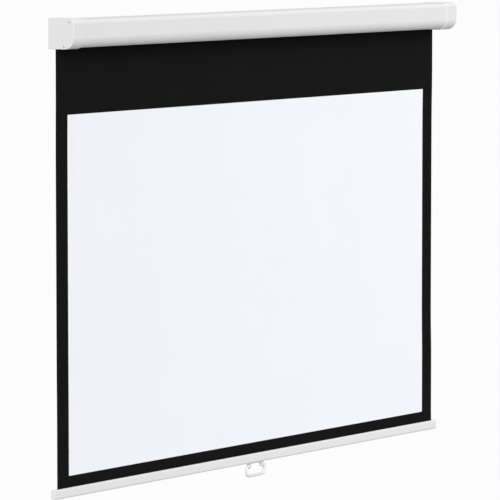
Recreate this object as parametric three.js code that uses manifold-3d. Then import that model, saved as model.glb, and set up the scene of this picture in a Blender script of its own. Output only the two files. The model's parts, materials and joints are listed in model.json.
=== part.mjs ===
// A pull down projector screen that hangs on a wall, drawn with its fabric pulled down.
// Millimetres. X runs along the screen to the viewer's right, Y goes back into the wall, Z is up.
// The origin is the middle of the casing's back face, which lies flat against the wall.

import * as THREE from "three";
import { mergeVertices } from "three/addons/utils/BufferGeometryUtils.js";
import Module from "manifold-3d";

// Projection fabric and its black masking coat
const imageWidth = 1770;
const imageHeight = 996;
const sideBorder = 52;
const bottomBorder = 32;
const topDrop = 185;
const fabricThickness = 0.5;
const maskThickness = 0.3;
const maskSeam = 0.1;
const fabricSetback = 12;
const spareWraps = 2;

// Casing, an extrusion with a flat back, a small upper and a large lower front radius
const casingHeight = 78;
const casingDepth = 86;
const casingWall = 1.6;
const upperFrontRadius = 12;
const lowerFrontRadius = 30;
const slotWidth = 13;
const screwPortRadius = 4.2;

// End caps, which sleeve over the casing and stand a little proud of it
const capProud = 3;
const capFace = 3;
const capSleeve = 50;
const capEdge = 1.2;

// End brackets, steel angles with a roller plate and a wall leg with a keyhole
const bracketThickness = 2;
const wallLegLength = 48;
const wallLegHeight = 52;
const keyholeInset = 26;
const keyholeHeadRadius = 6;
const keyholeNeckRadius = 3;
const keyholeDrop = 8;
const keyholeRise = 10;

// Roller, its plugs and the bush of the idler pin
const tubeRadius = 22.5;
const tubeWall = 1.5;
const tubeMargin = 4;
const plugFlange = 2.5;
const plugSpigot = 24;
const plugFloor = 6.8;
const plugRimWall = 2.7;
const idlerPinRadius = 4;
const bushSleeveWall = 2.6;
const bushFlangeWidth = 3;
const bushFlangeThickness = 1;

// Spring drive on the still arbor
const arborRadius = 5;
const arborAcrossFlats = 7;
const springLength = 400;
const springMeanRadius = 12.5;
const springWireRadius = 1.25;
const springTurns = 30;
const anchorHubLength = 18;
const anchorFlangeThickness = 3;
const anchorFlangeOverlap = 2;
const arborBushLength = 12;
const arborOverhang = 6;

// Ratchet that holds the screen at the height where it is let go. Angles are in degrees.
const ratchetTeeth = 4;
const ratchetHubWall = 1.1;
const ratchetToothHeight = 2.6;
const ratchetStepAngle = 98;
const ratchetNotchAngle = 20;
const ratchetRampAngle = 16;
const pawlThickness = 2.4;
const pawlPivotInset = 5.3;
const pawlPivotAngle = 54.5;
const pawlHeelRadius = 2.8;
const pawlTipRadius = 1.3;
const pawlPinRadius = 1.5;
const pawlPinHeadThickness = 1.2;
const pawlPinDepth = 5;

// Bottom bar and the rod that the fabric's hem hangs on
const barHeight = 27;
const barDepth = 16;
const barWall = 1.5;
const barCornerRadius = 5;
const barOverhang = 15;
const barSlotWidth = 3.2;
const hemChannelHeight = 9;
const hemRodRadius = 3;
const barCapFace = 3;
const barCapSpigot = 12;
const barCapEdge = 0.8;

// Pull handle, a bent rod whose ends turn in the two ears of its bracket. Its width is taken between
// the middles of its two legs.
const handleWidth = 88;
const handleDrop = 42;
const handleRodRadius = 4.5;
const handleShoulderRadius = 8;
const handleCornerRadius = 14;
const handlePivotDrop = 10;
const handlePlateClearance = 3.8;
const handlePlateWidth = 14;
const handlePlateThickness = 1.6;
const handleEarThickness = 2.5;
const handleEarInset = 4;
const handleEarRadius = 7;
const handleEndProud = 3.5;
const handleScrewInset = 21;

// Screws with a pan head and a cross recess
const screwRadius = 1.6;
const capScrewLength = 16;
const handleScrewLength = 8;
const screwTipLength = 1.2;
const screwHeadRadius = 3.4;
const screwHeadHeight = 2.2;
const screwRecessLength = 4;
const screwRecessWidth = 0.9;
const screwRecessDepth = 1;
const screwTipShare = 0.4;
const screwHeadShares = [[1, 0], [1, 0.4], [0.8, 0.8], [0.4, 1], [0, 1]];

// Clearances
const seatGap = 0.3;
const shaftGap = 0.4;
const endPlay = 1.4;
const cutOverrun = 5;
const weldDistance = 0.001;

// Smoothness, as steps in an outline's quarter turns and sides of round pieces
const casingSteps = 5;
const smallOutlineSteps = 2;
const roundedEdgeSteps = 2;
const tubeSides = 36;
const shaftSides = 20;
const screwSides = 12;
const ratchetLandSteps = 4;
const handleSides = 8;
const handleSteps = 60;
const springSides = 5;
const springStepsPerTurn = 8;

// Places along X, from the fabric's edge out to the casing's end
const fabricEnd = imageWidth / 2 + sideBorder;
const tubeEnd = fabricEnd + tubeMargin;
const flangeInner = tubeEnd + seatGap;
const flangeOuter = flangeInner + plugFlange;
const pawlInner = flangeOuter + seatGap;
const pawlOuter = pawlInner + pawlThickness;
const pinHeadInner = pawlOuter + seatGap;
const pinHeadOuter = pinHeadInner + pawlPinHeadThickness;
const bracketInner = pinHeadOuter + endPlay;
const casingEnd = bracketInner + bracketThickness;
const capInner = casingEnd + seatGap;
const capOuter = capInner + capFace;
const sleeveInner = capInner - capSleeve;
const barEnd = fabricEnd + barOverhang;

// Places of the spring drive along X, from its plug in towards the middle of the roller
const plugInner = flangeInner - plugSpigot;
const plugRecess = flangeOuter - plugFloor;
const springOuterEnd = plugRecess - seatGap - springWireRadius;
const springInnerEnd = springOuterEnd - springLength;
const anchorFlangeOuter = springInnerEnd - springWireRadius - seatGap;
const anchorFlangeInner = anchorFlangeOuter - anchorFlangeThickness;
const arborBushOuter = anchorFlangeInner - seatGap;
const arborBushInner = arborBushOuter - arborBushLength;
const arborInner = arborBushInner - arborOverhang;

// Heights
const casingTop = casingHeight / 2;
const casingBottom = -casingTop;
const imageTop = casingBottom - topDrop;
const imageBottom = imageTop - imageHeight;
const barTop = imageBottom - bottomBorder;
const barBottom = barTop - barHeight;
const fabricBottom = barTop - barWall;
const hemChannelBottom = fabricBottom - hemChannelHeight;
const lowerHollow = [barBottom + barWall, hemChannelBottom - barWall];
const handlePlateTop = barBottom - seatGap;
const handlePlateBottom = handlePlateTop - handlePlateThickness;
const handlePivotZ = barBottom - handlePivotDrop;

// Places of the handle's bracket along X, from the middle out
const handlePlateEnd = handleWidth / 2 - handleRodRadius - handlePlateClearance;
const handleEarOuter = handlePlateEnd - handleEarInset;
const handleEarInner = handleEarOuter - handleEarThickness;
const handleScrewX = handlePlateEnd - handleScrewInset;

// The fabric hangs from the back of the roller, so the roller's axis follows the fabric
const fabricY = -fabricSetback;
const wrapInnerRadius = tubeRadius + seatGap;
const wrapOuterRadius = wrapInnerRadius + spareWraps * fabricThickness;
const rollerY = fabricY - fabricThickness / 2 - seatGap - wrapOuterRadius;
const maskBack = fabricY - fabricThickness / 2 - seatGap;
const slotBand = [fabricY - slotWidth / 2, fabricY + slotWidth / 2];

// Radii that fit into or over one another
const plugRadius = tubeRadius - tubeWall - seatGap;
const arborHoleRadius = arborRadius + shaftGap;
const screwHoleRadius = screwRadius + seatGap;
const pawlHoleRadius = pawlPinRadius + seatGap;
const bushBoreRadius = idlerPinRadius + shaftGap;
const bushSleeveRadius = bushBoreRadius + bushSleeveWall;
const ratchetRootRadius = arborRadius + seatGap + ratchetHubWall;
const ratchetRimRadius = ratchetRootRadius + ratchetToothHeight;

// The spring's turns are straight wires between steps, so their middles come nearest to the hubs
const springBore = springMeanRadius * Math.cos(Math.PI / springStepsPerTurn) - springWireRadius;
const springHubRadius = springBore - seatGap;

// The casing's two screw ports, [y, z], grown onto its upper and lower walls
const portHeight = casingTop - casingWall / 2 - screwPortRadius;
const screwPorts = {
  upper: [upperFrontRadius - casingDepth, portHeight],
  lower: [lowerFrontRadius - casingDepth, -portHeight],
};

const LEFT = -1;
const RIGHT = 1;

const whitePaint = new THREE.MeshStandardMaterial({ color: 0xe9e9e7, roughness: 0.4, metalness: 0.1 });
const whitePlastic = new THREE.MeshStandardMaterial({ color: 0xe3e3e1, roughness: 0.5, metalness: 0 });
const zincSteel = new THREE.MeshStandardMaterial({ color: 0xb4b7ba, roughness: 0.4, metalness: 0.9 });
const springSteel = new THREE.MeshStandardMaterial({ color: 0x74777a, roughness: 0.35, metalness: 0.9 });
const tubeAluminium = new THREE.MeshStandardMaterial({ color: 0xc4c7ca, roughness: 0.4, metalness: 0.9 });
const nylon = new THREE.MeshStandardMaterial({ color: 0xdcd9cf, roughness: 0.6, metalness: 0 });
const whiteFabric = new THREE.MeshStandardMaterial({ color: 0xf3f4f8, roughness: 0.9, metalness: 0 });
const blackCoat = new THREE.MeshStandardMaterial({ color: 0x181817, roughness: 0.85, metalness: 0 });

const wasm = await Module();
wasm.setup();

// A closed geometry as a solid that can be joined and cut. Its corners are set on a fine grid, so
// that faces meant to lie in one plane do.
function solidOf(geometry) {
  const bare = geometry.index ? geometry.toNonIndexed() : geometry.clone();
  bare.deleteAttribute("normal");
  bare.deleteAttribute("uv");
  const merged = mergeVertices(bare, weldDistance);
  const onGrid = (value) => weldDistance * Math.round(value / weldDistance);
  return new wasm.Manifold(
    new wasm.Mesh({
      numProp: 3,
      vertProperties: merged.attributes.position.array.map(onGrid),
      triVerts: new Uint32Array(merged.index.array),
    }),
  );
}

function geometryOf(solid) {
  const mesh = solid.getMesh();
  const geometry = new THREE.BufferGeometry();
  geometry.setAttribute("position", new THREE.BufferAttribute(mesh.vertProperties, 3));
  geometry.setIndex(new THREE.BufferAttribute(mesh.triVerts, 1));
  const faceted = geometry.toNonIndexed();
  faceted.computeVertexNormals();
  return faceted;
}

function joined(...geometries) {
  return geometryOf(geometries.map(solidOf).reduce((whole, next) => whole.add(next)));
}

function cut(geometry, ...tools) {
  return geometryOf(tools.map(solidOf).reduce((rest, tool) => rest.subtract(tool), solidOf(geometry)));
}

function common(first, second) {
  return geometryOf(solidOf(first).intersect(solidOf(second)));
}

function piece(name, geometry, material) {
  const mesh = new THREE.Mesh(geometry, material);
  mesh.name = name;
  return mesh;
}

function group(...children) {
  return new THREE.Group().add(...children);
}

// The stretch from inner to outer along X, at the left or the right end
function span(side, inner, outer) {
  return side === RIGHT ? [inner, outer] : [-outer, -inner];
}

function around(middle, width) {
  return [middle - width / 2, middle + width / 2];
}

function block([x0, x1], [y0, y1], [z0, z1]) {
  const geometry = new THREE.BoxGeometry(x1 - x0, y1 - y0, z1 - z0);
  return geometry.translate((x0 + x1) / 2, (y0 + y1) / 2, (z0 + z1) / 2);
}

// An outline drawn in Y and Z, extruded along X
const outlineAxes = new THREE.Matrix4().makeBasis(
  new THREE.Vector3(0, 1, 0),
  new THREE.Vector3(0, 0, 1),
  new THREE.Vector3(1, 0, 0),
);

function alongX(outline, [from, to], steps, edge = 0) {
  const geometry = new THREE.ExtrudeGeometry(outline, {
    depth: to - from - 2 * edge,
    bevelEnabled: edge > 0,
    bevelThickness: edge,
    bevelSize: edge,
    bevelOffset: -edge,
    bevelSegments: roundedEdgeSteps,
    curveSegments: steps,
  });
  return geometry.applyMatrix4(outlineAxes).translate(from + edge, 0, 0);
}

function roundRod(y, z, radius, [from, to], sides = shaftSides) {
  const geometry = new THREE.CylinderGeometry(radius, radius, to - from, sides);
  return geometry.rotateZ(Math.PI / 2).translate((from + to) / 2, y, z);
}

// A turned piece on X, whose profile holds [x, radius], drawn for the right end and set on a line
// through [y, z]
function turned(profile, side, y, z, sides = tubeSides) {
  const points = profile.map(([x, radius]) => new THREE.Vector2(radius, x));
  const geometry = new THREE.LatheGeometry(points, sides).rotateZ(-Math.PI / 2);
  if (side === LEFT) geometry.rotateZ(Math.PI);
  return geometry.translate(0, y, z);
}

function ring([from, to], boreRadius, radius, side, sides = tubeSides) {
  const profile = [[from, radius], [to, radius], [to, boreRadius], [from, boreRadius], [from, radius]];
  return turned(profile, side, rollerY, 0, sides);
}

function polygon(sides, radius) {
  const corners = Array.from({ length: sides }, (_, k) => (2 * Math.PI * k) / sides);
  return new THREE.Shape(
    corners.map((angle) => new THREE.Vector2(radius * Math.cos(angle), radius * Math.sin(angle))),
  );
}

function roundedRectangle([y0, y1], [z0, z1], radius) {
  const shape = new THREE.Shape();
  shape.absarc(y0 + radius, z0 + radius, radius, Math.PI, 1.5 * Math.PI);
  shape.absarc(y1 - radius, z0 + radius, radius, 1.5 * Math.PI, 2 * Math.PI);
  shape.absarc(y1 - radius, z1 - radius, radius, 0, 0.5 * Math.PI);
  shape.absarc(y0 + radius, z1 - radius, radius, 0.5 * Math.PI, Math.PI);
  return shape;
}

// A length with the casing's section, grown or shrunk all round except at its back, which is given
function casingLength(growth, back, ends, edge = 0) {
  const top = casingTop + growth;
  const front = -casingDepth - growth;
  const upperRadius = upperFrontRadius + growth;
  const lowerRadius = lowerFrontRadius + growth;
  const outline = new THREE.Shape();
  outline.moveTo(back, top);
  outline.lineTo(front + upperRadius, top);
  outline.absarc(front + upperRadius, top - upperRadius, upperRadius, 0.5 * Math.PI, Math.PI);
  outline.absarc(front + lowerRadius, lowerRadius - top, lowerRadius, Math.PI, 1.5 * Math.PI);
  outline.lineTo(back, -top);
  return alongX(outline, ends, casingSteps, edge);
}

function casingShell() {
  const whole = [-casingEnd, casingEnd];
  const through = [-casingEnd - cutOverrun, casingEnd + cutOverrun];
  const portSpan = [seatGap - bracketInner, bracketInner - seatGap];
  const hollow = cut(casingLength(0, 0, whole), casingLength(-casingWall, -casingWall, through));
  const ports = Object.values(screwPorts);
  const withPorts = joined(hollow, ...ports.map(([y, z]) => roundRod(y, z, screwPortRadius, portSpan)));
  const bores = ports.map(([y, z]) => roundRod(y, z, screwHoleRadius, through));
  const slot = block(through, slotBand, [casingBottom - cutOverrun, casingBottom + 2 * casingWall]);
  const legInner = casingEnd - wallLegLength - seatGap;
  const notches = [LEFT, RIGHT].map((side) =>
    block(
      span(side, legInner, casingEnd + cutOverrun),
      [-casingWall - seatGap, cutOverrun],
      around(0, wallLegHeight + 2 * seatGap),
    ),
  );
  return cut(withPorts, ...bores, slot, ...notches);
}

function endCap(side) {
  return cut(
    casingLength(capProud, 0, span(side, sleeveInner, capOuter), capEdge),
    casingLength(seatGap, cutOverrun, span(side, sleeveInner - cutOverrun, capInner)),
    block(
      span(side, sleeveInner - cutOverrun, tubeEnd),
      slotBand,
      [casingBottom - capProud - cutOverrun, casingBottom],
    ),
    ...Object.values(screwPorts).map(([y, z]) =>
      roundRod(y, z, screwHoleRadius, span(side, capInner - cutOverrun, capOuter + cutOverrun)),
    ),
  );
}

// The wall screw's head goes in at the keyhole's wide lower end, and its neck slides up the slot
function keyhole(side) {
  const middle = side * (casingEnd - keyholeInset);
  const depth = 2 * (bracketThickness + cutOverrun);
  const opening = (radius, z) =>
    new THREE.CylinderGeometry(radius, radius, depth, shaftSides).translate(middle, 0, z);
  return joined(
    opening(keyholeHeadRadius, -keyholeDrop),
    opening(keyholeNeckRadius, keyholeRise),
    block(around(middle, 2 * keyholeNeckRadius), around(0, depth), [-keyholeDrop, keyholeRise]),
  );
}

// The hole that keeps the arbor from turning, or the round hole of the idler pin's bush
function rollerHole(side) {
  const through = span(side, bracketInner - cutOverrun, casingEnd + cutOverrun);
  if (side === RIGHT) return roundRod(rollerY, 0, bushSleeveRadius + seatGap, through);
  const reach = arborRadius + seatGap;
  return common(
    roundRod(rollerY, 0, reach, through),
    block(through, around(rollerY, 2 * reach), around(0, arborAcrossFlats + 2 * seatGap)),
  );
}

function endBracket(side) {
  const inset = casingWall + seatGap;
  const plateSpan = span(side, bracketInner, casingEnd);
  const legBand = around(0, wallLegHeight);
  return cut(
    joined(
      casingLength(-inset, -inset, plateSpan),
      block(plateSpan, [-inset - bracketThickness, 0], legBand),
      block(span(side, casingEnd - wallLegLength, casingEnd), [-bracketThickness, 0], legBand),
    ),
    keyhole(side),
    rollerHole(side),
    ...Object.values(screwPorts).map(([y, z]) =>
      roundRod(y, z, screwHoleRadius, span(side, bracketInner - cutOverrun, casingEnd + cutOverrun)),
    ),
  );
}

// A screw with its head up along Y and the head's seat at the origin
function screw(length) {
  const shank = [
    [0, -length],
    [screwTipShare * screwRadius, -length],
    [screwRadius, screwTipLength - length],
    [screwRadius, 0],
  ];
  const head = screwHeadShares.map(([r, h]) => [r * screwHeadRadius, h * screwHeadHeight]);
  const profile = [...shank, ...head].map(([r, h]) => new THREE.Vector2(r, h));
  const recess = (lengthX, lengthZ) =>
    block(
      around(0, lengthX),
      [screwHeadHeight - screwRecessDepth, screwHeadHeight + cutOverrun],
      around(0, lengthZ),
    );
  return cut(
    new THREE.LatheGeometry(profile, screwSides),
    recess(screwRecessLength, screwRecessWidth),
    recess(screwRecessWidth, screwRecessLength),
  );
}

function capScrew(side, [y, z]) {
  const geometry = screw(capScrewLength).rotateZ((-side * Math.PI) / 2);
  return geometry.translate(side * (capOuter + seatGap), y, z);
}

function handleScrew(side) {
  const geometry = screw(handleScrewLength).rotateX(-Math.PI / 2);
  return geometry.translate(side * handleScrewX, fabricY, handlePlateBottom - seatGap);
}

function springArbor() {
  const profile = [[arborInner, 0], [arborInner, arborRadius], [casingEnd, arborRadius], [casingEnd, 0]];
  const flatSpan = span(LEFT, pinHeadOuter, casingEnd + cutOverrun);
  const acrossY = around(rollerY, 2 * (arborRadius + cutOverrun));
  const flat = arborAcrossFlats / 2;
  const beyond = arborRadius + cutOverrun;
  return cut(
    turned(profile, LEFT, rollerY, 0, shaftSides),
    block(flatSpan, acrossY, [flat, beyond]),
    block(flatSpan, acrossY, [-beyond, -flat]),
  );
}

function onWheel(radius, degrees) {
  const angle = THREE.MathUtils.degToRad(degrees);
  return new THREE.Vector2(rollerY + radius * Math.cos(angle), radius * Math.sin(angle));
}

// Each tooth is a step up to the rim, a land along it and a ramp down to the next notch
function ratchetWheel() {
  const pitch = 360 / ratchetTeeth;
  const land = pitch - ratchetNotchAngle - ratchetRampAngle;
  const outline = [];
  for (let tooth = 0; tooth < ratchetTeeth; tooth += 1) {
    const step = ratchetStepAngle + tooth * pitch;
    outline.push(onWheel(ratchetRootRadius, step));
    for (let k = 0; k <= ratchetLandSteps; k += 1)
      outline.push(onWheel(ratchetRimRadius, step + (land * k) / ratchetLandSteps));
    outline.push(onWheel(ratchetRootRadius, step + land + ratchetRampAngle));
  }
  const wheelSpan = span(LEFT, pawlInner, pawlOuter);
  return cut(
    alongX(new THREE.Shape(outline), wheelSpan, smallOutlineSteps),
    roundRod(rollerY, 0, arborRadius + seatGap, span(LEFT, pawlInner - cutOverrun, pawlOuter + cutOverrun)),
  );
}

// Hub and flange that hold the spring's still end on the arbor
function springAnchor() {
  const flangeRadius = springMeanRadius + springWireRadius + anchorFlangeOverlap;
  const hubOuter = anchorFlangeOuter + anchorHubLength;
  const boreRadius = arborRadius + seatGap;
  const profile = [
    [anchorFlangeInner, flangeRadius],
    [anchorFlangeOuter, flangeRadius],
    [anchorFlangeOuter, springHubRadius],
    [hubOuter, springHubRadius],
    [hubOuter, boreRadius],
    [anchorFlangeInner, boreRadius],
    [anchorFlangeInner, flangeRadius],
  ];
  return turned(profile, LEFT, rollerY, 0, shaftSides);
}

class SpringLine extends THREE.Curve {
  getPoint(share, target = new THREE.Vector3()) {
    const angle = 2 * Math.PI * springTurns * share;
    const x = -springOuterEnd + springLength * share;
    const y = rollerY + springMeanRadius * Math.cos(angle);
    return target.set(x, y, springMeanRadius * Math.sin(angle));
  }
}

// The least room between turns of a wire, measured between points at least half a turn apart
function leastGap(points, halfTurn, diameter) {
  let least = Infinity;
  for (let i = 0; i < points.length; i += 1)
    for (let j = i + halfTurn; j < points.length; j += 1)
      least = Math.min(least, points[i].distanceTo(points[j]));
  return least - diameter;
}

function torsionSpring() {
  const line = new SpringLine();
  const steps = springTurns * springStepsPerTurn;
  const gap = leastGap(line.getPoints(steps), springStepsPerTurn / 2, 2 * springWireRadius);
  console.log(`torsion_spring: least gap between turns ${gap.toFixed(2)} mm`);
  return new THREE.ExtrudeGeometry(polygon(springSides, springWireRadius), {
    steps,
    extrudePath: line,
    bevelEnabled: false,
  });
}

function idlerBush() {
  const flangeFace = bracketInner - seatGap;
  const flangeBack = flangeFace - bushFlangeThickness;
  const flangeRadius = bushSleeveRadius + bushFlangeWidth;
  const profile = [
    [flangeBack, flangeRadius],
    [flangeFace, flangeRadius],
    [flangeFace, bushSleeveRadius],
    [casingEnd, bushSleeveRadius],
    [casingEnd, bushBoreRadius],
    [flangeBack, bushBoreRadius],
    [flangeBack, flangeRadius],
  ];
  return turned(profile, RIGHT, rollerY, 0, shaftSides);
}

// A plug with a spigot in the tube, a flange over its end and a recess round a hub
function rollerPlug(side, boreRadius) {
  const recessRadius = plugRadius - plugRimWall;
  const profile = [
    [plugInner, plugRadius],
    [flangeInner, plugRadius],
    [flangeInner, tubeRadius],
    [flangeOuter, tubeRadius],
    [flangeOuter, boreRadius],
    [plugInner, boreRadius],
    [plugInner, springHubRadius],
    [plugRecess, springHubRadius],
    [plugRecess, recessRadius],
    [plugInner, recessRadius],
    [plugInner, plugRadius],
  ];
  return turned(profile, side, rollerY, 0);
}

// The upper pawl's sense is 1, and the lower one is the same turned half round the roller: -1
function pawlPivot(sense) {
  const pivot = onWheel(sense * (tubeRadius - pawlPivotInset), pawlPivotAngle);
  return [pivot.x, pivot.y];
}

function springEndPlug() {
  const holeSpan = span(LEFT, flangeOuter - pawlPinDepth, flangeOuter + cutOverrun);
  return cut(
    rollerPlug(LEFT, arborHoleRadius),
    ...[1, -1].map((sense) => roundRod(...pawlPivot(sense), pawlHoleRadius, holeSpan)),
  );
}

function idlerPin() {
  return roundRod(rollerY, 0, idlerPinRadius, [plugInner, casingEnd]);
}

function pawlPin(sense) {
  const shankInner = flangeOuter - pawlPinDepth + seatGap;
  const profile = [
    [shankInner, 0],
    [shankInner, pawlPinRadius],
    [pinHeadInner, pawlPinRadius],
    [pinHeadInner, pawlHeelRadius],
    [pinHeadOuter, pawlHeelRadius],
    [pinHeadOuter, 0],
  ];
  return turned(profile, LEFT, ...pawlPivot(sense), shaftSides);
}

// A tapered finger from the heel on its pin to the tip, which rests just clear of the wheel's rim
function pawl(sense) {
  const [heelY, heelZ] = pawlPivot(sense);
  const tipY = rollerY;
  const tipZ = sense * (ratchetRimRadius + seatGap + pawlTipRadius);
  const heading = Math.atan2(tipZ - heelZ, tipY - heelY);
  const quarter = Math.PI / 2;
  const finger = new THREE.Shape();
  finger.absarc(heelY, heelZ, pawlHeelRadius, heading + quarter, heading + 3 * quarter);
  finger.absarc(tipY, tipZ, pawlTipRadius, heading - quarter, heading + quarter);
  return cut(
    alongX(finger, span(LEFT, pawlInner, pawlOuter), smallOutlineSteps),
    roundRod(heelY, heelZ, pawlHoleRadius, span(LEFT, pawlInner - cutOverrun, pawlOuter + cutOverrun)),
  );
}

function screenFabric() {
  return block([-fabricEnd, fabricEnd], around(fabricY, fabricThickness), [fabricBottom, 0]);
}

// A stretch of the black coat on the fabric's front
function mask(spanX, spanZ) {
  return block(spanX, [maskBack - maskThickness, maskBack], spanZ);
}

// A length of the bottom bar's section
function barLength(ends, edge = 0) {
  const outline = roundedRectangle(around(fabricY, barDepth), [barBottom, barTop], barCornerRadius);
  return alongX(outline, ends, smallOutlineSteps, edge);
}

// A length of one of the bar's two hollows, or of what fits in it with a gap
function barHollow([bottom, top], gap, ends) {
  const sides = around(fabricY, barDepth - 2 * (barWall + gap));
  const outline = roundedRectangle(sides, [bottom + gap, top - gap], barCornerRadius - barWall - gap);
  return alongX(outline, ends, smallOutlineSteps);
}

function handleScrewHole(side, [z0, z1]) {
  const geometry = new THREE.CylinderGeometry(screwHoleRadius, screwHoleRadius, z1 - z0, screwSides);
  return geometry.rotateX(Math.PI / 2).translate(side * handleScrewX, fabricY, (z0 + z1) / 2);
}

function bottomBar() {
  const through = [-barEnd - cutOverrun, barEnd + cutOverrun];
  return cut(
    barLength([-barEnd, barEnd]),
    barHollow([hemChannelBottom, fabricBottom], 0, through),
    barHollow(lowerHollow, 0, through),
    block(through, around(fabricY, barSlotWidth), [fabricBottom - hemRodRadius, barTop + cutOverrun]),
    ...[LEFT, RIGHT].map((side) =>
      handleScrewHole(side, [barBottom - cutOverrun, barBottom + 2 * barWall]),
    ),
  );
}

function barCap(side) {
  const faceInner = barEnd + seatGap;
  const faceOuter = faceInner + barCapFace;
  return joined(
    barLength(span(side, faceInner, faceOuter), barCapEdge),
    barHollow(lowerHollow, seatGap, span(side, barEnd - barCapSpigot, faceOuter - barCapEdge)),
  );
}

function hemRod() {
  const z = fabricBottom - seatGap - hemRodRadius;
  return roundRod(fabricY, z, hemRodRadius, [-fabricEnd, fabricEnd], shaftSides);
}

// An ear's upper edge lies half way into the plate
function handleEar(side) {
  const top = (handlePlateTop + handlePlateBottom) / 2;
  const ear = new THREE.Shape();
  ear.moveTo(fabricY + handleEarRadius, top);
  ear.lineTo(fabricY - handleEarRadius, top);
  ear.absarc(fabricY, handlePivotZ, handleEarRadius, Math.PI, 2 * Math.PI);
  return alongX(ear, span(side, handleEarInner, handleEarOuter), casingSteps);
}

function handleBracket() {
  const plateSpan = [-handlePlateEnd, handlePlateEnd];
  const screwBand = [handlePlateBottom - cutOverrun, handlePlateTop + cutOverrun];
  return cut(
    joined(
      block(plateSpan, around(fabricY, handlePlateWidth), [handlePlateBottom, handlePlateTop]),
      handleEar(LEFT),
      handleEar(RIGHT),
    ),
    roundRod(fabricY, handlePivotZ, handleRodRadius + shaftGap, plateSpan),
    handleScrewHole(LEFT, screwBand),
    handleScrewHole(RIGHT, screwBand),
  );
}

// The handle's centre line: out through one ear, down, across, up and in through the other ear
function handleLine() {
  const side = handleWidth / 2;
  const rodEnd = handleEarInner - handleEndProud;
  const low = barBottom - handleDrop + handleRodRadius;
  const at = (x, z) => new THREE.Vector3(x, fabricY, z);
  const corners = [
    { corner: at(-side, handlePivotZ), radius: handleShoulderRadius },
    { corner: at(-side, low), radius: handleCornerRadius },
    { corner: at(side, low), radius: handleCornerRadius },
    { corner: at(side, handlePivotZ), radius: handleShoulderRadius },
  ];
  const line = new THREE.CurvePath();
  const end = at(rodEnd, handlePivotZ);
  let from = at(-rodEnd, handlePivotZ);
  corners.forEach(({ corner, radius }, k) => {
    const next = k + 1 < corners.length ? corners[k + 1].corner : end;
    const into = corner.clone().add(from.clone().sub(corner).setLength(radius));
    const out = corner.clone().add(next.clone().sub(corner).setLength(radius));
    line.add(new THREE.LineCurve3(from, into));
    line.add(new THREE.QuadraticBezierCurve3(into, corner, out));
    from = out;
  });
  line.add(new THREE.LineCurve3(from, end));
  return line;
}

function pullHandle() {
  return new THREE.ExtrudeGeometry(polygon(handleSides, handleRodRadius), {
    steps: handleSteps,
    extrudePath: handleLine(),
    bevelEnabled: false,
  });
}

const casing = group(
  piece("casing_shell", casingShell(), whitePaint),
  piece("left_end_cap", endCap(LEFT), whitePlastic),
  piece("right_end_cap", endCap(RIGHT), whitePlastic),
  piece("left_cap_upper_screw", capScrew(LEFT, screwPorts.upper), zincSteel),
  piece("left_cap_lower_screw", capScrew(LEFT, screwPorts.lower), zincSteel),
  piece("right_cap_upper_screw", capScrew(RIGHT, screwPorts.upper), zincSteel),
  piece("right_cap_lower_screw", capScrew(RIGHT, screwPorts.lower), zincSteel),
  piece("left_end_bracket", endBracket(LEFT), zincSteel),
  piece("right_end_bracket", endBracket(RIGHT), zincSteel),
  piece("spring_arbor", springArbor(), zincSteel),
  piece("ratchet_wheel", ratchetWheel(), zincSteel),
  piece("spring_anchor", springAnchor(), zincSteel),
  piece("torsion_spring", torsionSpring(), springSteel),
  piece("idler_bush", idlerBush(), nylon),
);

const roller = group(
  piece("roller_tube", ring([-tubeEnd, tubeEnd], tubeRadius - tubeWall, tubeRadius, RIGHT), tubeAluminium),
  piece("spring_end_plug", springEndPlug(), nylon),
  piece("idler_end_plug", rollerPlug(RIGHT, idlerPinRadius + seatGap), nylon),
  piece("idler_pin", idlerPin(), zincSteel),
  piece("arbor_bush", ring([arborBushInner, arborBushOuter], arborHoleRadius, plugRadius, LEFT), nylon),
  piece("upper_pawl_pin", pawlPin(1), zincSteel),
  piece("lower_pawl_pin", pawlPin(-1), zincSteel),
  piece("fabric_wraps", ring([-fabricEnd, fabricEnd], wrapInnerRadius, wrapOuterRadius, RIGHT), blackCoat),
);

const pawls = group(
  piece("upper_pawl", pawl(1), zincSteel),
  piece("lower_pawl", pawl(-1), zincSteel),
);

const borderBand = [imageBottom, imageTop - maskSeam];
const fullWidth = [-fabricEnd, fabricEnd];
const fabric = group(
  piece("screen_fabric", screenFabric(), whiteFabric),
  piece("top_black_drop", mask(fullWidth, [imageTop, -wrapOuterRadius - seatGap]), blackCoat),
  piece("left_black_border", mask(span(LEFT, imageWidth / 2, fabricEnd), borderBand), blackCoat),
  piece("right_black_border", mask(span(RIGHT, imageWidth / 2, fabricEnd), borderBand), blackCoat),
  piece("bottom_black_border", mask(fullWidth, [fabricBottom, imageBottom - maskSeam]), blackCoat),
);

const bar = group(
  piece("bottom_bar", bottomBar(), whitePaint),
  piece("bar_left_cap", barCap(LEFT), whitePlastic),
  piece("bar_right_cap", barCap(RIGHT), whitePlastic),
  piece("hem_rod", hemRod(), nylon),
  piece("handle_bracket", handleBracket(), whitePaint),
  piece("handle_left_screw", handleScrew(LEFT), zincSteel),
  piece("handle_right_screw", handleScrew(RIGHT), zincSteel),
  piece("pull_handle", pullHandle(), whitePlastic),
);

export default group(casing, roller, pawls, fabric, bar);
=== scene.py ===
import json
import math

import bmesh
import bpy
from bpy.props import FloatProperty, FloatVectorProperty, PointerProperty
from mathutils import Matrix, Vector


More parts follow.
